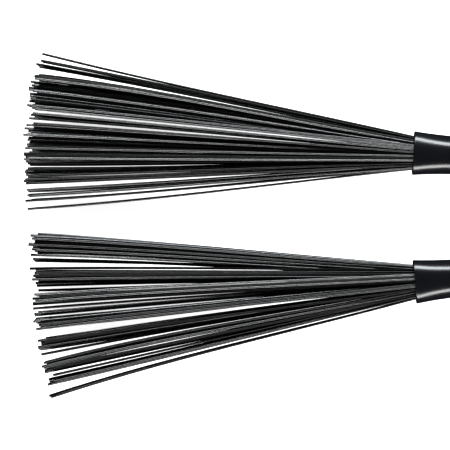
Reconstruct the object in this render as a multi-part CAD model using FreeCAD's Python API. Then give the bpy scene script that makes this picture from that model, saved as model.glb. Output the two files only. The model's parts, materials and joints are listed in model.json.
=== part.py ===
import FreeCAD, Part
import math
import os
import random

# A pair of retractable drum brushes lying side by side on a table, in millimetres.
# +X runs from the bristle tips to the pull knobs, +Z is up and the table is at Z = 0.
# Each brush is first built along its own axis: X = 0 is the rim of the handle's mouth,
# X > 0 is inside the handle and X < 0 is out in the open, where the bristles fan out.

# Handle
GRIP_DIAMETER = 13.8
GRIP_WALL = 0.80
TUBE_WALL = 0.33
MOUTH_WIDTH = 16.2
MOUTH_HEIGHT = 10.4
FLARE_LENGTH = 20.0
FLARE_STEPS = 6
MOUTH_LIP = 1.2
MOUTH_ROUNDING = 0.35
SEAT_GAP = 0.02

# Rod and what it carries
ROD_DIAMETER = 3.0
ROD_RUNNING_GAP = 0.08
TRAVEL = 140.0
STOP_GAP = 0.3
FERRULE_FRONT = 10.0
FERRULE_LENGTH = 15.0
FERRULE_WALL = 0.40
CRIMP_DEPTH = 8.5
ROD_SOCKET = 4.0
SLIDER_LENGTH = 12.0
SLIDER_GAP = 0.07
RING_SECTION = 2.0
RING_GAP = 0.02
PLUG_LENGTH = 12.0
FLANGE_THICKNESS = 3.0
FLANGE_ROUNDING = 0.8
KNOB_DIAMETER = 12.0
KNOB_NECK_DIAMETER = 8.0
KNOB_NECK_LENGTH = 2.5
KNOB_SOCKET = 7.0

# Bristles
BRISTLE_DIAMETER = 0.75
LAYER_PITCH = 0.77
BRISTLE_PITCH = 0.775
BRISTLES_PER_LAYER = [7, 10, 11, 12, 12, 12, 11, 10, 7]
LAYER_SPREAD = 1.25
LAYER_WANDER = 0.08
REACH_WANDER = 1.1
LONGEST_WANDER = 1.7
WALL_GAP = 0.06
CROWDING = 0.82
NUDGE = 0.1
EVENNESS = 0.08
TUFTS = 6

# The two brushes. "mouth" is where the middle of the mouth lies, "turn" is the angle in
# degrees from +X to the handle's axis, "reach" is the length of a bristle from the ferrule
# to its tip, "slant" is how much longer it gets per millimetre across the fan, and "clumps"
# are the bunches that the tips have settled into: (from, to, how many), across the fan.
BRUSHES = {
    "a": {
        "mouth": (-32.03, 26.36),
        "turn": -3.15,
        "reach": 151.1,
        "slant": -0.02,
        "clumps": [
            (-28.2, -28.2, 1), (-25.3, -24.9, 2), (-23.5, -23.0, 3), (-21.7, -21.3, 2),
            (-19.0, -13.3, 12), (-11.9, 3.3, 32), (4.8, 6.9, 4), (8.5, 21.2, 30),
            (23.9, 26.4, 5), (28.8, 28.8, 1),
        ],
        "seed": 11,
    },
    "b": {
        "mouth": (-31.53, -20.83),
        "turn": 5.1,
        "reach": 148.6,
        "slant": 0.04,
        "clumps": [
            (-30.1, -29.0, 3), (-25.5, -23.8, 5), (-22.2, -22.2, 1), (-20.9, -17.2, 12),
            (-14.3, -14.3, 1), (-12.6, -8.8, 11), (-5.0, -1.2, 10), (0.2, 1.2, 3),
            (2.7, 2.7, 1), (4.4, 7.8, 10), (9.1, 9.1, 1), (10.9, 10.9, 1), (12.0, 16.2, 10),
            (17.4, 17.4, 1), (20.1, 20.8, 3), (22.1, 29.9, 19),
        ],
        "seed": 4,
    },
}

bristle_radius = BRISTLE_DIAMETER / 2
wall = GRIP_WALL + SEAT_GAP + TUBE_WALL
bore_radius = GRIP_DIAMETER / 2 - wall
axis_height = GRIP_DIAMETER / 2
ferrule_back = FERRULE_FRONT + FERRULE_LENGTH
slider_front = ferrule_back + STOP_GAP
slider_back = slider_front + SLIDER_LENGTH
plug_front = slider_back + TRAVEL + STOP_GAP
handle_back = plug_front + PLUG_LENGTH
flange_front = handle_back + SEAT_GAP
flange_back = flange_front + FLANGE_THICKNESS
knob_front = flange_back + STOP_GAP


def rod_piece(start, end, radius):
    """A round bar on the brush's axis."""
    return Part.makeCylinder(
        radius, end - start, FreeCAD.Vector(start, 0, 0), FreeCAD.Vector(1, 0, 0)
    )


def flare(x):
    """How much of the mouth's oval shape is left at x, from 1 at the rim to 0."""
    left = max(0.0, 1 - x / FLARE_LENGTH)
    return left * left


def half_sizes(x, inset):
    """Half the width and half the height of the handle at x, inset from its outside."""
    share = flare(x)
    width = GRIP_DIAMETER + (MOUTH_WIDTH - GRIP_DIAMETER) * share
    height = GRIP_DIAMETER + (MOUTH_HEIGHT - GRIP_DIAMETER) * share
    return width / 2 - inset, height / 2 - inset


def oval(x, inset):
    """The outline of the handle at x, as a wire: an oval in the flare and then a circle."""
    half_width, half_height = half_sizes(x, inset)
    sideways = FreeCAD.Vector(x, half_width, 0)
    upright = FreeCAD.Vector(x, 0, half_height)
    ends = [sideways, upright] if half_width > half_height else [upright, sideways]
    return Part.Wire([Part.Ellipse(*ends, FreeCAD.Vector(x, 0, 0)).toShape()])


def handle_body(start, end, inset):
    """A solid bar from start to end with the handle's shape, oval first and then round."""
    steps = [start + (FLARE_LENGTH - start) * k / FLARE_STEPS for k in range(FLARE_STEPS + 1)]
    mouth = Part.makeLoft([oval(x, inset) for x in steps], True, False)
    return mouth.fuse(rod_piece(FLARE_LENGTH, end, GRIP_DIAMETER / 2 - inset))


def rounded(shape, x, radius):
    """The shape with the outermost edge of its flat face at x rounded off."""
    edges = [e for e in shape.Edges if abs(e.BoundBox.XMin - x) + abs(e.BoundBox.XMax - x) < 0.01]
    outermost = max(edges, key=lambda e: e.BoundBox.YLength)
    return shape.makeFillet(radius, [outermost])


def make_handle():
    """The pieces that slide forward over the bristles: rubber grip, metal tube, end plug."""
    grip = rounded(handle_body(0, handle_back, 0), 0, MOUTH_ROUNDING)
    grip = grip.cut(handle_body(MOUTH_LIP, handle_back + 1, GRIP_WALL))
    grip = grip.cut(handle_body(-1, FLARE_LENGTH, wall))
    tube = handle_body(MOUTH_LIP + SEAT_GAP, handle_back, GRIP_WALL + SEAT_GAP)
    tube = tube.cut(handle_body(0, handle_back + 1, wall))
    plug = rod_piece(plug_front, flange_front, bore_radius - SEAT_GAP)
    flange = rod_piece(flange_front, flange_back, GRIP_DIAMETER / 2)
    plug = plug.fuse(rounded(flange, flange_back, FLANGE_ROUNDING))
    rod_hole = rod_piece(plug_front - 1, flange_back + 1, ROD_DIAMETER / 2 + ROD_RUNNING_GAP)
    return {"grip": grip, "inner_tube": tube, "end_plug": plug.cut(rod_hole)}


def make_rod():
    """The pull rod and the pieces fixed to it, without the bristles."""
    socket_front = ferrule_back - ROD_SOCKET
    knob_end = knob_front + KNOB_NECK_LENGTH + KNOB_DIAMETER
    rod_end = knob_front + KNOB_SOCKET
    rod_seat = ROD_DIAMETER / 2 + SEAT_GAP
    rod = rod_piece(socket_front + SEAT_GAP, rod_end, ROD_DIAMETER / 2)

    bundle_radius = bundle_outer_radius() + WALL_GAP
    ferrule = rod_piece(FERRULE_FRONT, ferrule_back, bundle_radius + FERRULE_WALL)
    ferrule = ferrule.cut(
        rod_piece(FERRULE_FRONT - 1, FERRULE_FRONT + CRIMP_DEPTH + WALL_GAP, bundle_radius)
    )
    ferrule = ferrule.cut(rod_piece(socket_front, ferrule_back + 1, rod_seat))

    ring_radius = bore_radius - RING_GAP - RING_SECTION / 2
    groove_width = RING_SECTION + 2 * RING_GAP
    groove_middle = (slider_front + slider_back) / 2
    slider = rod_piece(slider_front, slider_back, bore_radius - SLIDER_GAP)
    groove_start = groove_middle - groove_width / 2
    groove = rod_piece(groove_start, groove_start + groove_width, bore_radius)
    groove_floor = ring_radius - RING_SECTION / 2 - RING_GAP
    groove = groove.cut(rod_piece(groove_start - 1, groove_middle + groove_width, groove_floor))
    slider = slider.cut(groove).cut(rod_piece(slider_front - 1, slider_back + 1, rod_seat))
    ring = Part.makeTorus(
        ring_radius,
        RING_SECTION / 2,
        FreeCAD.Vector(groove_middle, 0, 0),
        FreeCAD.Vector(1, 0, 0),
    )

    ball_middle = knob_end - KNOB_DIAMETER / 2
    knob = Part.makeSphere(KNOB_DIAMETER / 2, FreeCAD.Vector(ball_middle, 0, 0))
    knob = knob.fuse(rod_piece(knob_front, ball_middle, KNOB_NECK_DIAMETER / 2))
    knob = knob.cut(rod_piece(knob_front - 1, rod_end + SEAT_GAP, rod_seat))
    return {
        "pull_rod": rod,
        "ferrule": ferrule,
        "slider": slider,
        "friction_ring": ring,
        "pull_knob": knob,
    }


def layer_heights():
    """The height of each layer of bristles above the axis, in the ferrule."""
    middle = (len(BRISTLES_PER_LAYER) - 1) / 2
    return [(k - middle) * LAYER_PITCH for k in range(len(BRISTLES_PER_LAYER))]


def roots_across(count):
    """Where the bristles of one layer stand across the ferrule."""
    return [(k - (count - 1) / 2) * BRISTLE_PITCH for k in range(count)]


def bundle_outer_radius():
    """The radius that just encloses every bristle in the ferrule."""
    corners = [
        math.hypot(roots_across(count)[0], height)
        for count, height in zip(BRISTLES_PER_LAYER, layer_heights())
    ]
    return max(corners) + bristle_radius


def widest_tip(count, height, reach):
    """How far from the axis the last bristle of a layer can point and still clear the mouth."""
    half_width, half_height = half_sizes(0, wall)
    rise = 1 + (LAYER_SPREAD - 1) * FERRULE_FRONT / reach
    edge = (abs(height) * rise + bristle_radius + WALL_GAP) / half_height
    room = half_width * math.sqrt(1 - edge * edge) - bristle_radius - WALL_GAP
    root = -roots_across(count)[0]
    return root + (room - root) * reach / FERRULE_FRONT


def clumped_tips(brush, chance):
    """Where all the tips of a brush lie across the fan."""
    tips = []
    for start, end, count in brush["clumps"]:
        step = (end - start) / max(1, count - 1)
        wander = 0.35 * step
        tips += [start + step * k + chance.uniform(-wander, wander) for k in range(count)]
    return tips


def with_room(tip, layers, limits):
    """The layers that still have room for a bristle with this tip."""
    return [
        k
        for k, layer in enumerate(layers)
        if len(layer) < BRISTLES_PER_LAYER[k]
        and abs(tip) <= limits[k]
        and all(abs(tip - other) >= CROWDING for other in layer)
    ]


def share_filled(tip, k, layers):
    """How much of layer k is already taken by bristles on the same side of the fan as the tip."""
    same_side = [other for other in layers[k] if other * tip > 0]
    return len(same_side) / BRISTLES_PER_LAYER[k]


def dealt_out(tips, limits, chance):
    """The tips shared out among the layers, moved by as little as keeps them apart."""
    layers = [[] for _ in limits]
    for tip in sorted(tips, key=abs, reverse=True):
        steps = 0
        place = tip
        while not with_room(place, layers, limits):
            steps += 1
            place = tip + NUDGE * (steps // 2) * (-1) ** steps
        fits = with_room(place, layers, limits)
        filled = [share_filled(place, k, layers) + chance.uniform(0, EVENNESS) for k in fits]
        layers[fits[filled.index(min(filled))]].append(place)
    return [sorted(layer) for layer in layers]


def make_bristle(root_y, root_z, tip_y, tip_z, reach):
    """One bristle: straight in the ferrule, then straight out to its tip, cut off square."""
    root = FreeCAD.Vector(FERRULE_FRONT + CRIMP_DEPTH, root_y, root_z)
    bend = FreeCAD.Vector(FERRULE_FRONT, root_y, root_z)
    sideways = math.hypot(tip_y - root_y, tip_z - root_z)
    forward = math.sqrt(reach * reach - sideways * sideways)
    tip = FreeCAD.Vector(FERRULE_FRONT - forward, tip_y, tip_z)
    path = Part.Wire([Part.makeLine(root, bend), Part.makeLine(bend, tip)])
    outline = Part.Circle(root, FreeCAD.Vector(-1, 0, 0), bristle_radius)
    return path.makePipeShell([Part.Wire([outline.toShape()])], True, False, 1)


def make_tufts(brush):
    """The fan of bristles, shared out into tufts that lie next to each other."""
    chance = random.Random(brush["seed"])
    heights = layer_heights()
    limits = [
        widest_tip(count, height, brush["reach"])
        for count, height in zip(BRISTLES_PER_LAYER, heights)
    ]
    bristles = []
    for height, tips in zip(heights, dealt_out(clumped_tips(brush, chance), limits, chance)):
        for root, tip in zip(roots_across(len(tips)), tips):
            tip_height = height * LAYER_SPREAD + chance.uniform(-LAYER_WANDER, LAYER_WANDER)
            wander = chance.gauss(0, REACH_WANDER)
            wander = max(-LONGEST_WANDER, min(LONGEST_WANDER, wander))
            reach = brush["reach"] + brush["slant"] * tip + wander
            bristles.append((tip, make_bristle(root, height, tip, tip_height, reach)))
    bristles.sort(key=lambda pair: pair[0])
    shapes = [shape for _, shape in bristles]
    ends = [round(k * len(shapes) / TUFTS) for k in range(TUFTS + 1)]
    return {
        f"bristle_tuft_{k + 1}": Part.makeCompound(shapes[ends[k]:ends[k + 1]])
        for k in range(TUFTS)
    }


def place(shape, brush):
    """The shape moved from the brush's own axis to where the brush lies on the table."""
    x, y = brush["mouth"]
    turn = FreeCAD.Rotation(FreeCAD.Vector(0, 0, 1), brush["turn"])
    moved = shape.copy()
    moved.Placement = FreeCAD.Placement(FreeCAD.Vector(x, y, axis_height), turn)
    return moved


os.makedirs("parts", exist_ok=True)
for letter, brush in BRUSHES.items():
    pieces = {**make_handle(), **make_rod(), **make_tufts(brush)}
    for name, shape in pieces.items():
        place(shape, brush).exportStep(f"parts/brush_{letter}_{name}.step")
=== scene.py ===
import json
import math
import random

import bpy
import numpy as np
from mathutils import Matrix, Vector

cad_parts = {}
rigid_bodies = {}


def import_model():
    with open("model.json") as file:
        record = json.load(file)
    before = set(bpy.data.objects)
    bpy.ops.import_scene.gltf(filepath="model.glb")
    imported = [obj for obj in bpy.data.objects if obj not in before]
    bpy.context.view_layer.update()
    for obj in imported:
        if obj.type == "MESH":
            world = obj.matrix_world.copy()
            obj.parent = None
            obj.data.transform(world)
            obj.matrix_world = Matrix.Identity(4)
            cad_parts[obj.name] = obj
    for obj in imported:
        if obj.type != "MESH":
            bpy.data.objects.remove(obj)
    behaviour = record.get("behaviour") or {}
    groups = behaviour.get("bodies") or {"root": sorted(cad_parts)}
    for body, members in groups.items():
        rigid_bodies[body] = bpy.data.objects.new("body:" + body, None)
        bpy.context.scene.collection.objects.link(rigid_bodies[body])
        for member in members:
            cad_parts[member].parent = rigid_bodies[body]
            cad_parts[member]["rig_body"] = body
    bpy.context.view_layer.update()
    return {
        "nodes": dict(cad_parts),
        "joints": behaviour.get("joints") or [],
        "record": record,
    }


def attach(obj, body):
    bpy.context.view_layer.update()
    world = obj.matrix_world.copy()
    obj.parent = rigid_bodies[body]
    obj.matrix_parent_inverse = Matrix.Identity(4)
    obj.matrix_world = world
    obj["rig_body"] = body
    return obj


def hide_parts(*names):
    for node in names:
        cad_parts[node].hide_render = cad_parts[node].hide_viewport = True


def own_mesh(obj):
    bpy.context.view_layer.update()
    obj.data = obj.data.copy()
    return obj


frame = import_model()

# Lengths are in metres, and angles in degrees
MM = 0.001
BRUSH_LETTERS = "ab"
TUFT_COUNT = 6
CHANCE_SEED = 7

# Handle, rod and knob: the sizes that aren't read from the frame
FLARE_LENGTH = 20 * MM
LIP_DEPTH = 1.2 * MM
RIM_ROUNDING = 0.55 * MM
SMALL_ROUNDING = 0.25 * MM
FLANGE_ROUNDING = 0.9 * MM
SLIDER_ROUNDING = 0.5 * MM
SEAT_GAP = 0.02 * MM
KNOB_BLEND = 0.4 * MM

# Ferrule: its rounding, and the two grooves that its crimp leaves
FERRULE_ROUNDING = 0.15 * MM
FERRULE_FLOOR_GAP = 0.06 * MM
CRIMP_PLACES = (3.2 * MM, 6.4 * MM)
CRIMP_HALF_WIDTH = 0.6 * MM
CRIMP_FLOOR_SHARE = 0.35
CRIMP_DEPTH = 0.16 * MM

# How near to an end of a CAD node a vertex has to lie to count as part of that end
PIECE_END = 1.0 * MM
KNOB_END = 0.5 * MM
BRISTLE_ROOT_END = 0.05 * MM
BRISTLE_TIP_END = 0.3 * MM

# Vertices are in the same place when they agree to this many decimals of a metre
SAME_PLACE_DIGITS = 7

# How finely the turned pieces are divided, round the axis and along it, and the angle above
# which an edge is sharp
GRIP_SIDES = 128
TURNED_SIDES = 96
ROD_SIDES = 48
FLARE_STATIONS = 14
GRIP_STATIONS = 10
ROD_STATIONS = 8
TURNED_SHARP_ABOVE = 35

# Bristles: how they are built up from rings. The bend starts at a share of the length in the
# ferrule, and the stations are shares of the free length
BRISTLE_SIDES = 10
BRISTLE_CUT_BEVEL = 0.05 * MM
BRISTLE_SHARP_ABOVE = 50
BEND_START = 0.12
FREE_STATIONS = (0.008, *np.linspace(0.05, 1, 18))

# Bristles: how much thicker they are at the tip than in the CAD model, and the share of the
# tip's height above or below the fan's middle that is kept
TIP_SWELL = {"a": 0.20, "b": 0.28}
TIP_HEIGHT_KEPT = 0.86

# Bows by chance: the usual size of a whole layer's bow and of a bristle's own. The factor makes
# a bow as wide as it says where it is widest
LAYER_NUMBERS = range(-5, 6)
LAYER_BOW = 0.25 * MM
BRISTLE_BOW = 0.04 * MM
BOW_FACTOR = 6.8

# How far bristles bow sideways, by where their tips lie across the fan: pairs of a tip's place
# and its bristle's bow, in millimetres
FAN_BOWS = {
    "a": [
        (-30, -0.6),
        (0, 0),
        (9, 0.1),
        (13, 0.3),
        (21.2, 1.3),
        (24, 0.4),
        (26.5, 0.3),
        (28, -0.8),
    ],
    "b": [
        (-28.5, 0.9),
        (-27, -0.5),
        (-21, -0.1),
        (-17.2, 1.4),
        (-14.3, 0.2),
        (-12.6, -0.5),
        (-8.8, 0.6),
        (-5, 0),
        (0, 0),
        (30, 0.5),
    ],
}

# A bristle's tone runs from 0 to 1. It drifts from each bristle to the next, and every bristle
# adds a little of its own
MIDDLE_TONE = {"a": 0.58, "b": 0.45}
DRIFT_KEPT = 0.3
DRIFT_SPREAD = 0.2
TONE_SPREAD = 0.27

# Bristle nylon: its colour, roughness and sheen at tone 0 and at tone 1, and its streaks
BRISTLE_COLOURS = ((0.002, 0.002, 0.002), (0.024, 0.024, 0.0245))
BRISTLE_ROUGHNESS = (0.24, 0.14)
BRISTLE_SHEEN = (0.05, 1.0)
BRISTLE_IOR = 1.6
STREAK_SCALE = 1500
STREAK_STRETCH = (0.12, 1, 1)
STREAK_ROUGHNESS = 0.12
STREAK_DEPTH = 0.008 * MM

# Plain materials: the darkest and lightest colour, the least and greatest roughness, the scale
# and depth of the grain, and for drawn metals how far the grain is stretched along each axis
NOISE_DETAIL = 3
PATCH_SCALE = 90
BLACK_RUBBER = ((0.0060, 0.0065, 0.0080), (0.0090, 0.0095, 0.0115))
PLAIN_MATERIALS = {
    "grip_rubber": {
        "colours": BLACK_RUBBER,
        "roughness": (0.17, 0.25),
        "grain_scale": 2600,
        "grain_depth": 0.014 * MM,
    },
    "tube_aluminium": {
        "colours": ((0.36, 0.36, 0.37), (0.44, 0.44, 0.45)),
        "roughness": (0.10, 0.16),
        "grain_scale": 2400,
        "grain_depth": 0.01 * MM,
        "metallic": 1.0,
        "stretch": (0.05, 1, 1),
    },
    "end_plug_plastic": {
        "colours": ((0.010, 0.010, 0.011), (0.016, 0.016, 0.017)),
        "roughness": (0.38, 0.50),
        "grain_scale": 3500,
        "grain_depth": 0.02 * MM,
    },
    "rod_steel": {
        "colours": ((0.085, 0.085, 0.09), (0.115, 0.115, 0.12)),
        "roughness": (0.10, 0.16),
        "grain_scale": 3000,
        "grain_depth": 0.006 * MM,
        "metallic": 1.0,
        "stretch": (0.04, 1, 1),
    },
    "ferrule_steel": {
        "colours": ((0.32, 0.31, 0.29), (0.38, 0.37, 0.35)),
        "roughness": (0.09, 0.15),
        "grain_scale": 2600,
        "grain_depth": 0.01 * MM,
        "metallic": 1.0,
    },
    "slider_nylon": {
        "colours": ((0.66, 0.64, 0.58), (0.74, 0.72, 0.66)),
        "roughness": (0.36, 0.48),
        "grain_scale": 2800,
        "grain_depth": 0.015 * MM,
    },
    "ring_rubber": {
        "colours": ((0.009, 0.009, 0.009), (0.015, 0.015, 0.015)),
        "roughness": (0.48, 0.62),
        "grain_scale": 3600,
        "grain_depth": 0.02 * MM,
    },
    "knob_rubber": {
        "colours": BLACK_RUBBER,
        "roughness": (0.18, 0.27),
        "grain_scale": 2600,
        "grain_depth": 0.014 * MM,
    },
}

# The picture: what it shows from side to side, and where its middle lies. Its gamma gives the
# edges between black bristles and white floor their full weight
PICTURE_WIDTH = 164.8 * MM
PICTURE_MIDDLE = Vector((-100.88 * MM, 0, 6.9 * MM))
PICTURE_GAMMA = 0.8
CAMERA_HEIGHT = 1.6
CAMERA_CLIP = (0.1, 50)
SENSOR_WIDTH = 36.0

# Floor and background glow, so that the brushes' shaded sides are filled with light
WHITE = (1, 1, 1, 1)
FLOOR_HALF_WIDTH = 12.0
FLOOR_COLOURS = ((0.84, 0.84, 0.84), (0.87, 0.87, 0.87))
FLOOR_PATCH_SCALE = 60
FLOOR_ROUGHNESS = 0.7
FLOOR_GLOW = 0.84
BACKGROUND_GLOW = 0.25

# Two long strip lights give the lines of light along the handles. Each is on one side of the
# brushes along Y. Its two angles are as seen from the brushes: how high it stands above the
# floor, and how tall it is
STRIP_DISTANCE = 1.1
STRIP_LENGTH = 2.2
STRIP_SHIFT = 0.06
STRIPS = {
    "strip_far": {
        "side": 1,
        "elevation": 25.5,
        "height": 19,
        "radiance": 20.5,
        "colour": (0.94, 0.975, 1.0),
    },
    "strip_near": {
        "side": -1,
        "elevation": 22.5,
        "height": 18,
        "radiance": 16.0,
        "colour": (1.0, 1.0, 0.985),
    },
}


# ---------------------------------------------------------------- sizes from the frame


def node_points(node):
    """The vertices of a CAD node as an array, in the row frame."""
    mesh = frame["nodes"][node].data
    points = np.zeros(len(mesh.vertices) * 3)
    mesh.vertices.foreach_get("co", points)
    return points.reshape(-1, 3)


def brush_matrix(letter):
    """From a brush's own axes to the row frame: X along the handle from its mouth, Z up."""
    joint = next(j for j in frame["joints"] if j["name"] == f"brush_{letter}_retract")
    mount = next(m for m in frame["record"]["mounts"] if m["name"] == f"grip_{letter}")
    back = -Vector(joint["axis"]).normalized()
    up = Vector((0, 0, 1))
    side = up.cross(back)
    turn = Matrix((back, side, up)).transposed()
    on_axis = Vector(mount["pos_m"])
    points = node_points(f"brush_{letter}_grip") - np.array(on_axis)
    mouth = on_axis + back * float((points @ np.array(back)).min())
    return Matrix.Translation(mouth) @ turn.to_4x4()


BRUSHES = {letter: brush_matrix(letter) for letter in BRUSH_LETTERS}


def own_points(letter, piece):
    """The vertices of one of a brush's CAD nodes, in the brush's own axes."""
    inverse = np.array(BRUSHES[letter].inverted())
    points = node_points(f"brush_{letter}_{piece}")
    return points @ inverse[:3, :3].T + inverse[:3, 3]


def span(letter, piece):
    """Where a CAD node of a brush starts and ends along the brush's axis."""
    along = own_points(letter, piece)[:, 0]
    return float(along.min()), float(along.max())


def radii(letter, piece, after, before):
    """How far from the axis the vertices of a CAD node lie, for those between two places."""
    points = own_points(letter, piece)
    points = points[(points[:, 0] > after) & (points[:, 0] < before)]
    return np.hypot(points[:, 1], points[:, 2])


def outer_radius(letter, piece, after=-math.inf, before=math.inf):
    """The largest radius of a CAD node between two places along the axis."""
    return float(radii(letter, piece, after, before).max())


def inner_radius(letter, piece, after=-math.inf, before=math.inf):
    """The smallest radius of a CAD node between two places along the axis."""
    return float(radii(letter, piece, after, before).min())


def oval_of(letter):
    """The mouth's shape of a brush: how much wider and lower than round it is at x."""
    points = own_points(letter, "grip")
    round_radius = float(np.abs(points[points[:, 0] > FLARE_LENGTH, 2]).max())
    rim = points[points[:, 0] < LIP_DEPTH]
    wider = float(np.abs(rim[:, 1]).max()) - round_radius
    lower = round_radius - float(np.abs(rim[:, 2]).max())

    def oval(x):
        left = max(0.0, 1 - max(0.0, x) / FLARE_LENGTH) ** 2
        return wider * left, lower * left

    return oval


# ---------------------------------------------------------------- materials


def new_material(name):
    """A node material, with its node tree and its principled shader."""
    material = bpy.data.materials.new(name)
    material.use_nodes = True
    tree = material.node_tree
    shader = next(n for n in tree.nodes if n.type == "BSDF_PRINCIPLED")
    return material, tree, shader


def noise(tree, scale, stretch=(1, 1, 1)):
    """Noise in the piece's own metres. A stretch below 1 draws it out along that axis."""
    place = tree.nodes.new("ShaderNodeTexCoord")
    mapping = tree.nodes.new("ShaderNodeMapping")
    mapping.inputs["Scale"].default_value = stretch
    texture = tree.nodes.new("ShaderNodeTexNoise")
    texture.inputs["Scale"].default_value = scale
    texture.inputs["Detail"].default_value = NOISE_DETAIL
    tree.links.new(place.outputs["Object"], mapping.inputs["Vector"])
    tree.links.new(mapping.outputs["Vector"], texture.inputs["Vector"])
    return texture.outputs["Fac"]


def ranged(tree, value, low, high):
    """A value from 0 to 1 brought to run from low to high."""
    spread = tree.nodes.new("ShaderNodeMapRange")
    spread.inputs["To Min"].default_value = low
    spread.inputs["To Max"].default_value = high
    tree.links.new(value, spread.inputs["Value"])
    return spread.outputs["Result"]


def mixed(tree, value, low, high):
    """A colour between two colours, by a value from 0 to 1."""
    mix = tree.nodes.new("ShaderNodeMix")
    mix.data_type = "RGBA"
    mix.inputs["A"].default_value = (*low, 1)
    mix.inputs["B"].default_value = (*high, 1)
    tree.links.new(value, mix.inputs["Factor"])
    return mix.outputs["Result"]


def bumped(tree, shader, height, distance):
    """Surface relief of the given depth in metres."""
    bump = tree.nodes.new("ShaderNodeBump")
    bump.inputs["Distance"].default_value = distance
    tree.links.new(height, bump.inputs["Height"])
    tree.links.new(bump.outputs["Normal"], shader.inputs["Normal"])


def plain_material(
    name, colours, roughness, grain_scale, grain_depth, metallic=0.0, stretch=(1, 1, 1)
):
    """A material with slightly uneven colour and gloss and a fine grain."""
    material, tree, shader = new_material(name)
    shader.inputs["Metallic"].default_value = metallic
    patches = noise(tree, PATCH_SCALE, stretch)
    grain = noise(tree, grain_scale, stretch)
    tree.links.new(mixed(tree, patches, *colours), shader.inputs["Base Color"])
    tree.links.new(ranged(tree, patches, *roughness), shader.inputs["Roughness"])
    bumped(tree, shader, grain, grain_depth)
    return material


def bristle_material(name):
    """Shiny black nylon. A bristle of a higher tone is lighter and shinier."""
    material, tree, shader = new_material(name)
    shader.inputs["IOR"].default_value = BRISTLE_IOR
    attribute = tree.nodes.new("ShaderNodeAttribute")
    attribute.attribute_name = "tone"
    tone = attribute.outputs["Fac"]
    streaks = noise(tree, STREAK_SCALE, STREAK_STRETCH)
    roughness = tree.nodes.new("ShaderNodeMath")
    roughness.operation = "MULTIPLY_ADD"
    roughness.inputs[1].default_value = STREAK_ROUGHNESS
    tree.links.new(streaks, roughness.inputs[0])
    tree.links.new(ranged(tree, tone, *BRISTLE_ROUGHNESS), roughness.inputs[2])
    tree.links.new(roughness.outputs["Value"], shader.inputs["Roughness"])
    tree.links.new(mixed(tree, tone, *BRISTLE_COLOURS), shader.inputs["Base Color"])
    sheen = ranged(tree, tone, *BRISTLE_SHEEN)
    tree.links.new(sheen, shader.inputs["Specular IOR Level"])
    bumped(tree, shader, streaks, STREAK_DEPTH)
    return material


MATERIALS = {name: plain_material(name, **look) for name, look in PLAIN_MATERIALS.items()}
MATERIALS["bristle_nylon"] = bristle_material("bristle_nylon")


# ---------------------------------------------------------------- pieces and outlines


def new_piece(letter, piece, slot_name, own_vertices, faces, sharp_above):
    """A rebuilt piece that takes over its CAD node: place, motion, slot and material.

    Its vertices are given in the brush's own axes. It is smooth, apart from the edges whose
    faces meet at a steeper angle than sharp_above."""
    matrix = BRUSHES[letter]
    name = f"{piece}_{letter}"
    mesh = bpy.data.meshes.new(name)
    mesh.from_pydata([tuple(matrix @ Vector(v)) for v in own_vertices], [], faces)
    mesh.validate()
    mesh.polygons.foreach_set("use_smooth", [True] * len(mesh.polygons))
    mesh.set_sharp_from_angle(angle=math.radians(sharp_above))
    mesh.update()
    mesh.materials.append(MATERIALS[slot_name])
    thing = bpy.data.objects.new(name, mesh)
    bpy.context.scene.collection.objects.link(thing)
    node = f"brush_{letter}_{piece}"
    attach(thing, frame["nodes"][node]["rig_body"])
    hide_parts(node)
    return thing


def arc(centre_x, centre_r, radius, start, end, steps=4):
    """Points of a rounded corner in a turned outline, by angle from +X towards the outside."""
    angles = [math.radians(start + (end - start) * k / steps) for k in range(steps + 1)]
    return [(centre_x + radius * math.cos(a), centre_r + radius * math.sin(a)) for a in angles]


def stations(start, end, count):
    """Evenly spaced places from start to end, without the two ends."""
    return [start + (end - start) * k / (count + 1) for k in range(1, count + 1)]


def band(here, there, sides):
    """The faces between two rings of vertex numbers. A ring of one is a point on the axis."""
    faces = []
    for k in range(sides):
        after = (k + 1) % sides
        if len(here) == 1:
            faces.append((here[0], there[after], there[k]))
        elif len(there) == 1:
            faces.append((here[k], here[after], there[0]))
        else:
            faces.append((here[k], here[after], there[after], there[k]))
    return faces


def turned(letter, piece, slot_name, outline, sides=TURNED_SIDES, oval=None):
    """A piece turned about the brush's axis from a closed outline of (x, radius) points.

    oval(x) gives how much wider and how much lower than round the outline is at x."""
    angles = [2 * math.pi * k / sides for k in range(sides)]
    rings = []
    vertices = []
    for x, radius in outline:
        first = len(vertices)
        if radius == 0:
            vertices.append((x, 0, 0))
        else:
            wider, lower = oval(x) if oval else (0.0, 0.0)
            wide = radius + wider
            high = radius - lower
            vertices += [(x, wide * math.cos(a), high * math.sin(a)) for a in angles]
        rings.append(range(first, len(vertices)))
    faces = []
    for here, there in zip(rings, rings[1:] + rings[:1]):
        if len(here) > 1 or len(there) > 1:
            faces += band(here, there, sides)
    new_piece(letter, piece, slot_name, vertices, faces, TURNED_SHARP_ABOVE)


# ---------------------------------------------------------------- handle and rod


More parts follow.
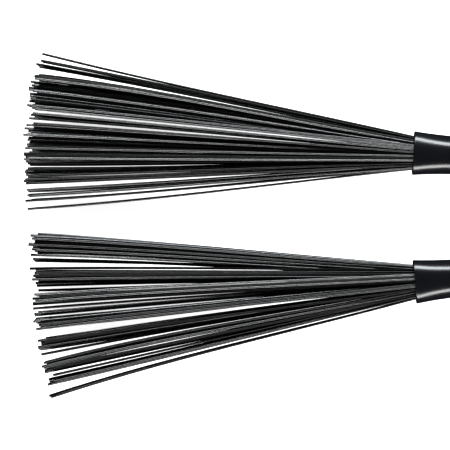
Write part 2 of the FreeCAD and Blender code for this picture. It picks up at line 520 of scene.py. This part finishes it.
def build_grip(letter, oval):
    """The rubber grip: flared, rounded at the rim, with a lip over the tube's front edge."""
    start, end = span(letter, "grip")
    outside = outer_radius(letter, "grip", after=FLARE_LENGTH)
    seat = inner_radius(letter, "grip", after=FLARE_LENGTH)
    bore = inner_radius(letter, "inner_tube", after=FLARE_LENGTH)
    rim = RIM_ROUNDING
    small = SMALL_ROUNDING
    flare = stations(start + rim, FLARE_LENGTH, FLARE_STATIONS)
    straight = stations(FLARE_LENGTH, end - small, GRIP_STATIONS)
    inside = stations(LIP_DEPTH, FLARE_LENGTH, FLARE_STATIONS)
    outline = arc(start + small, bore + small, small, 270, 180)
    outline += arc(start + rim, outside - rim, rim, 180, 90, steps=8)
    outline += [(x, outside) for x in [*flare, FLARE_LENGTH, *straight]]
    outline += arc(end - small, outside - small, small, 90, 0)
    outline += [(x, seat) for x in [end, FLARE_LENGTH, *reversed(inside), LIP_DEPTH]]
    outline += [(LIP_DEPTH, bore)]
    turned(letter, "grip", "grip_rubber", outline, GRIP_SIDES, oval)


def build_tube(letter, oval):
    """The metal tube inside the grip."""
    start, end = span(letter, "inner_tube")
    outside = outer_radius(letter, "inner_tube", after=FLARE_LENGTH)
    bore = inner_radius(letter, "inner_tube", after=FLARE_LENGTH)
    places = [start, *stations(start, FLARE_LENGTH, FLARE_STATIONS), FLARE_LENGTH, end]
    outline = [(x, outside) for x in places]
    outline += [(x, bore) for x in reversed(places)]
    turned(letter, "inner_tube", "tube_aluminium", outline, oval=oval)


def build_plug(letter):
    """The end plug: a spigot in the tube, and a rounded flange over the ends."""
    start, end = span(letter, "end_plug")
    flange = outer_radius(letter, "end_plug")
    spigot = outer_radius(letter, "end_plug", before=start + PIECE_END)
    hole = inner_radius(letter, "end_plug")
    flange_start = span(letter, "grip")[1] + SEAT_GAP
    big = FLANGE_ROUNDING
    small = SMALL_ROUNDING
    outline = [(start, hole), (start, spigot - small)]
    outline += arc(start + small, spigot - small, small, 180, 90)
    outline += [(flange_start, spigot), (flange_start, flange - small)]
    outline += arc(flange_start + small, flange - small, small, 180, 90)
    outline += arc(end - big, flange - big, big, 90, 0, steps=8)
    outline += [(end, hole + 2 * small)]
    outline += arc(end - small, hole + small, small, 0, -90)
    turned(letter, "end_plug", "end_plug_plastic", outline)


def build_rod(letter):
    """The steel pull rod, with a small chamfer at each end."""
    start, end = span(letter, "pull_rod")
    radius = outer_radius(letter, "pull_rod")
    small = SMALL_ROUNDING
    outline = [(start, 0.0), (start, radius - small), (start + small, radius)]
    outline += [(x, radius) for x in stations(start, end, ROD_STATIONS)]
    outline += [(end - small, radius), (end, radius - small), (end, 0.0)]
    turned(letter, "pull_rod", "rod_steel", outline, ROD_SIDES)


def build_ferrule(letter):
    """The ferrule: a thin cup with two crimped grooves round it, and a socket for the rod."""
    start, end = span(letter, "ferrule")
    outside = outer_radius(letter, "ferrule")
    inside = inner_radius(letter, "ferrule", before=start + PIECE_END)
    floor = span(letter, "bristle_tuft_1")[1] + FERRULE_FLOOR_GAP
    socket_start = span(letter, "pull_rod")[0]
    socket = inner_radius(letter, "ferrule", after=end - PIECE_END)
    small = FERRULE_ROUNDING
    half = CRIMP_HALF_WIDTH
    floor_half = CRIMP_FLOOR_SHARE * half
    groove_floor = outside - CRIMP_DEPTH
    outline = [(start, inside), (start, outside - small), (start + small, outside)]
    for place in CRIMP_PLACES:
        groove = start + place
        outline += [(groove - half, outside), (groove - floor_half, groove_floor)]
        outline += [(groove + floor_half, groove_floor), (groove + half, outside)]
    outline += [(end - small, outside), (end, outside - small), (end, socket)]
    outline += [(socket_start, socket), (socket_start, 0.0), (floor, 0.0), (floor, inside)]
    turned(letter, "ferrule", "ferrule_steel", outline)


def build_slider(letter):
    """The slider, with the groove that the friction ring sits in."""
    start, end = span(letter, "slider")
    outside = outer_radius(letter, "slider")
    hole = inner_radius(letter, "slider")
    ring_start, ring_end = span(letter, "friction_ring")
    groove_start = ring_start - SEAT_GAP
    groove_end = ring_end + SEAT_GAP
    groove_floor = inner_radius(letter, "friction_ring") - SEAT_GAP
    big = SLIDER_ROUNDING
    outline = [(start, hole)]
    outline += arc(start + big, outside - big, big, 180, 90, steps=5)
    outline += [(groove_start, outside), (groove_start, groove_floor)]
    outline += [(groove_end, groove_floor), (groove_end, outside)]
    outline += arc(end - big, outside - big, big, 90, 0, steps=5)
    outline += [(end, hole)]
    turned(letter, "slider", "slider_nylon", outline)


def build_ring(letter):
    """The rubber friction ring."""
    start, end = span(letter, "friction_ring")
    middle = (start + end) / 2
    thick = (end - start) / 2
    centre = outer_radius(letter, "friction_ring") - thick
    outline = arc(middle, centre, thick, 0, 360, steps=24)[:-1]
    turned(letter, "friction_ring", "ring_rubber", outline)


def build_knob(letter):
    """The pull knob: a ball on a short neck, with a blind hole for the rod."""
    start, end = span(letter, "pull_knob")
    ball = outer_radius(letter, "pull_knob")
    neck = outer_radius(letter, "pull_knob", before=start + KNOB_END)
    hole = outer_radius(letter, "pull_rod") + SEAT_GAP
    hole_end = span(letter, "pull_rod")[1] + SEAT_GAP
    middle = end - ball
    small = SMALL_ROUNDING
    reach = math.degrees(math.asin((neck + KNOB_BLEND) / ball))
    outline = [(start, hole), (start, neck - small)]
    outline += arc(start + small, neck - small, small, 180, 90)
    outline += arc(middle, 0.0, ball, 180 - reach, 0, steps=40)[:-1]
    outline += [(end, 0.0), (hole_end, 0.0), (hole_end, hole)]
    turned(letter, "pull_knob", "knob_rubber", outline)


# ---------------------------------------------------------------- bristles


def separate_solids(mesh):
    """The vertex numbers of each unconnected piece of a mesh."""
    owner = list(range(len(mesh.vertices)))

    def root(k):
        while owner[k] != k:
            owner[k] = owner[owner[k]]
            k = owner[k]
        return k

    places = {}
    for k, vertex in enumerate(mesh.vertices):
        key = tuple(round(c, SAME_PLACE_DIGITS) for c in vertex.co)
        owner[root(k)] = root(places.setdefault(key, k))
    for edge in mesh.edges:
        a, b = edge.vertices
        owner[root(a)] = root(b)
    groups = {}
    for k in range(len(mesh.vertices)):
        groups.setdefault(root(k), []).append(k)
    return list(groups.values())


def cad_bristles(letter, piece):
    """The vertices of each bristle in a tuft's CAD node, in the brush's own axes."""
    points = own_points(letter, piece)
    mesh = frame["nodes"][f"brush_{letter}_{piece}"].data
    return [points[group] for group in separate_solids(mesh)]


def root_ring(bristle):
    """The vertices of a CAD bristle's root end, which is square to the brush's axis."""
    along = bristle[:, 0]
    return bristle[along > along.max() - BRISTLE_ROOT_END]


def bristle_radius(bristle):
    """Half the width of a CAD bristle's root end."""
    across = root_ring(bristle)[:, 1]
    return float((across.max() - across.min()) / 2)


def centreline(bristle, bend_x):
    """The root, bend and tip of a CAD bristle. It bends where it leaves the ferrule."""
    root = root_ring(bristle).mean(0)
    along = bristle[:, 0]
    tip_ring = bristle[along < along.min() + BRISTLE_TIP_END]
    tip = (tip_ring.min(0) + tip_ring.max(0)) / 2
    return root, np.array([bend_x, root[1], root[2]]), tip


def fan_bow(letter, tip):
    """How far a bristle bows sideways because of its place in the fan."""
    places, bows = zip(*FAN_BOWS[letter])
    return MM * float(np.interp(tip[1] / MM, places, bows))


def bristle_path(root, bend, tip, bow):
    """Points along a bristle: straight in the ferrule, then bowed sideways a little.

    Its tip is brought nearer to the fan's middle height, so that it fits in the mouth."""
    tip = tip * np.array([1, 1, TIP_HEIGHT_KEPT])
    mouth_share = bend[0] / (bend[0] - tip[0])
    path = [root, bend + (root - bend) * BEND_START]
    for share in FREE_STATIONS:
        past = max(0.0, (share - mouth_share) / (1 - mouth_share))
        sideways = BOW_FACTOR * bow * past * past * (1 - past)
        path.append(bend + (tip - bend) * share + np.array([0, sideways, 0]))
    return path


def unit(vector):
    """The vector brought to a length of 1."""
    return vector / np.linalg.norm(vector)


def bristle_rings(path, radius, tip_swell):
    """The middle and radius of each ring of a bristle. It swells towards its bevelled tip."""
    swell = np.linspace(1, 1 + tip_swell, len(path))
    rings = [(point, radius * share) for point, share in zip(path, swell)]
    end, tip_radius = rings[-1]
    towards = unit(path[-1] - path[-2])
    rings[-1] = (end - towards * BRISTLE_CUT_BEVEL, tip_radius)
    rings.append((end, tip_radius - BRISTLE_CUT_BEVEL))
    return rings


def ring_vertices(rings):
    """The vertices of a bristle, ring by ring. Each ring is square to the bristle."""
    vertices = []
    for k, (point, radius) in enumerate(rings):
        ahead = rings[min(k + 1, len(rings) - 1)][0]
        behind = rings[max(k - 1, 0)][0]
        along = unit(ahead - behind)
        across = unit(np.cross([0, 0, 1], along))
        upright = np.cross(along, across)
        for side in range(BRISTLE_SIDES):
            angle = 2 * math.pi * side / BRISTLE_SIDES
            outwards = across * math.cos(angle) + upright * math.sin(angle)
            vertices.append(point + radius * outwards)
    return vertices


def bristle_faces(first, ring_count):
    """The faces of a bristle whose vertices start at the given number, with its two ends."""
    faces = []
    for k in range(ring_count - 1):
        here = first + k * BRISTLE_SIDES
        there = here + BRISTLE_SIDES
        for side in range(BRISTLE_SIDES):
            after = (side + 1) % BRISTLE_SIDES
            faces.append((here + side, there + side, there + after, here + after))
    last = first + (ring_count - 1) * BRISTLE_SIDES
    faces.append(tuple(range(first, first + BRISTLE_SIDES)))
    faces.append(tuple(range(last + BRISTLE_SIDES - 1, last - 1, -1)))
    return faces


def build_tuft(letter, number, layer_bows, chance):
    """A tuft: every bristle of a CAD node as a fine round tube with a square-cut end."""
    piece = f"bristle_tuft_{number}"
    bristles = cad_bristles(letter, piece)
    radius = bristle_radius(bristles[0])
    bend_x = span(letter, "ferrule")[0]
    lines = [centreline(bristle, bend_x) for bristle in bristles]
    vertices = []
    faces = []
    tones = []
    drift = 0.0
    for root, bend, tip in sorted(lines, key=lambda line: (line[2][1], line[2][2])):
        layer = round(root[2] / (2 * radius))
        own_bow = layer_bows[layer] + chance.gauss(0, BRISTLE_BOW)
        path = bristle_path(root, bend, tip, fan_bow(letter, tip) + own_bow)
        rings = bristle_rings(path, radius, TIP_SWELL[letter])
        faces += bristle_faces(len(vertices), len(rings))
        vertices += ring_vertices(rings)
        drift = DRIFT_KEPT * drift + chance.gauss(0, DRIFT_SPREAD)
        tone = MIDDLE_TONE[letter] + drift + chance.gauss(0, TONE_SPREAD)
        tones += [min(1.0, max(0.0, tone))] * (len(rings) * BRISTLE_SIDES)
    tuft = new_piece(letter, piece, "bristle_nylon", vertices, faces, BRISTLE_SHARP_ABOVE)
    attribute = tuft.data.attributes.new("tone", "FLOAT", "POINT")
    attribute.data.foreach_set("value", tones)
    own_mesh(tuft)


def build_brush(letter, chance):
    """All the pieces of a brush."""
    oval = oval_of(letter)
    build_grip(letter, oval)
    build_tube(letter, oval)
    build_plug(letter)
    build_rod(letter)
    build_ferrule(letter)
    build_slider(letter)
    build_ring(letter)
    build_knob(letter)
    layer_bows = {layer: chance.gauss(0, LAYER_BOW) for layer in LAYER_NUMBERS}
    for number in range(1, TUFT_COUNT + 1):
        build_tuft(letter, number, layer_bows, chance)


chance = random.Random(CHANCE_SEED)
for letter in BRUSH_LETTERS:
    build_brush(letter, chance)


# ---------------------------------------------------------------- floor, light, camera


def white_floor():
    """A wide pale floor at height 0 that glows and is left out of reflections."""
    half = FLOOR_HALF_WIDTH
    corners = [(-half, -half, 0), (half, -half, 0), (half, half, 0), (-half, half, 0)]
    mesh = bpy.data.meshes.new("floor")
    mesh.from_pydata(corners, [], [(0, 1, 2, 3)])
    material, tree, shader = new_material("floor_white")
    colour = mixed(tree, noise(tree, FLOOR_PATCH_SCALE), *FLOOR_COLOURS)
    tree.links.new(colour, shader.inputs["Base Color"])
    shader.inputs["Roughness"].default_value = FLOOR_ROUGHNESS
    shader.inputs["Emission Color"].default_value = WHITE
    shader.inputs["Emission Strength"].default_value = FLOOR_GLOW
    mesh.materials.append(material)
    thing = bpy.data.objects.new("floor", mesh)
    thing.visible_glossy = False
    bpy.context.scene.collection.objects.link(thing)
    return thing


def white_background():
    """An even white world that is left out of reflections."""
    world = bpy.data.worlds.new("studio")
    world.use_nodes = True
    background = next(n for n in world.node_tree.nodes if n.type == "BACKGROUND")
    background.inputs["Color"].default_value = WHITE
    background.inputs["Strength"].default_value = BACKGROUND_GLOW
    world.cycles_visibility.glossy = False
    bpy.context.scene.world = world


def strip_light(name, side, elevation, height, radiance, colour):
    """A long low strip light beside the brushes that points at them and isn't itself seen."""
    target = Vector((PICTURE_MIDDLE.x + STRIP_SHIFT, 0, 0))
    rise = math.radians(elevation)
    away = Vector((0, side * math.cos(rise), math.sin(rise))) * STRIP_DISTANCE
    tall = 2 * STRIP_DISTANCE * math.tan(math.radians(height) / 2)
    lamp = bpy.data.lights.new(name, "AREA")
    lamp.shape = "RECTANGLE"
    lamp.size = STRIP_LENGTH
    lamp.size_y = tall
    lamp.energy = radiance * math.pi * STRIP_LENGTH * tall
    lamp.color = colour
    thing = bpy.data.objects.new(name, lamp)
    thing.location = target + away
    thing.rotation_euler = (target - thing.location).to_track_quat("-Z", "Y").to_euler()
    thing.visible_camera = False
    bpy.context.scene.collection.objects.link(thing)
    return thing


def place_camera():
    """A camera straight above the middle of the picture."""
    lens = bpy.data.cameras.new("camera")
    lens.sensor_width = SENSOR_WIDTH
    lens.lens = SENSOR_WIDTH * CAMERA_HEIGHT / PICTURE_WIDTH
    lens.clip_start, lens.clip_end = CAMERA_CLIP
    camera = bpy.data.objects.new("camera", lens)
    camera.location = PICTURE_MIDDLE + Vector((0, 0, CAMERA_HEIGHT))
    bpy.context.scene.collection.objects.link(camera)
    bpy.context.scene.camera = camera


floor = white_floor()
strips = [strip_light(name, **strip) for name, strip in STRIPS.items()]
white_background()
place_camera()
view = bpy.context.scene.view_settings
view.view_transform = "Standard"
view.look = "None"
view.gamma = PICTURE_GAMMA
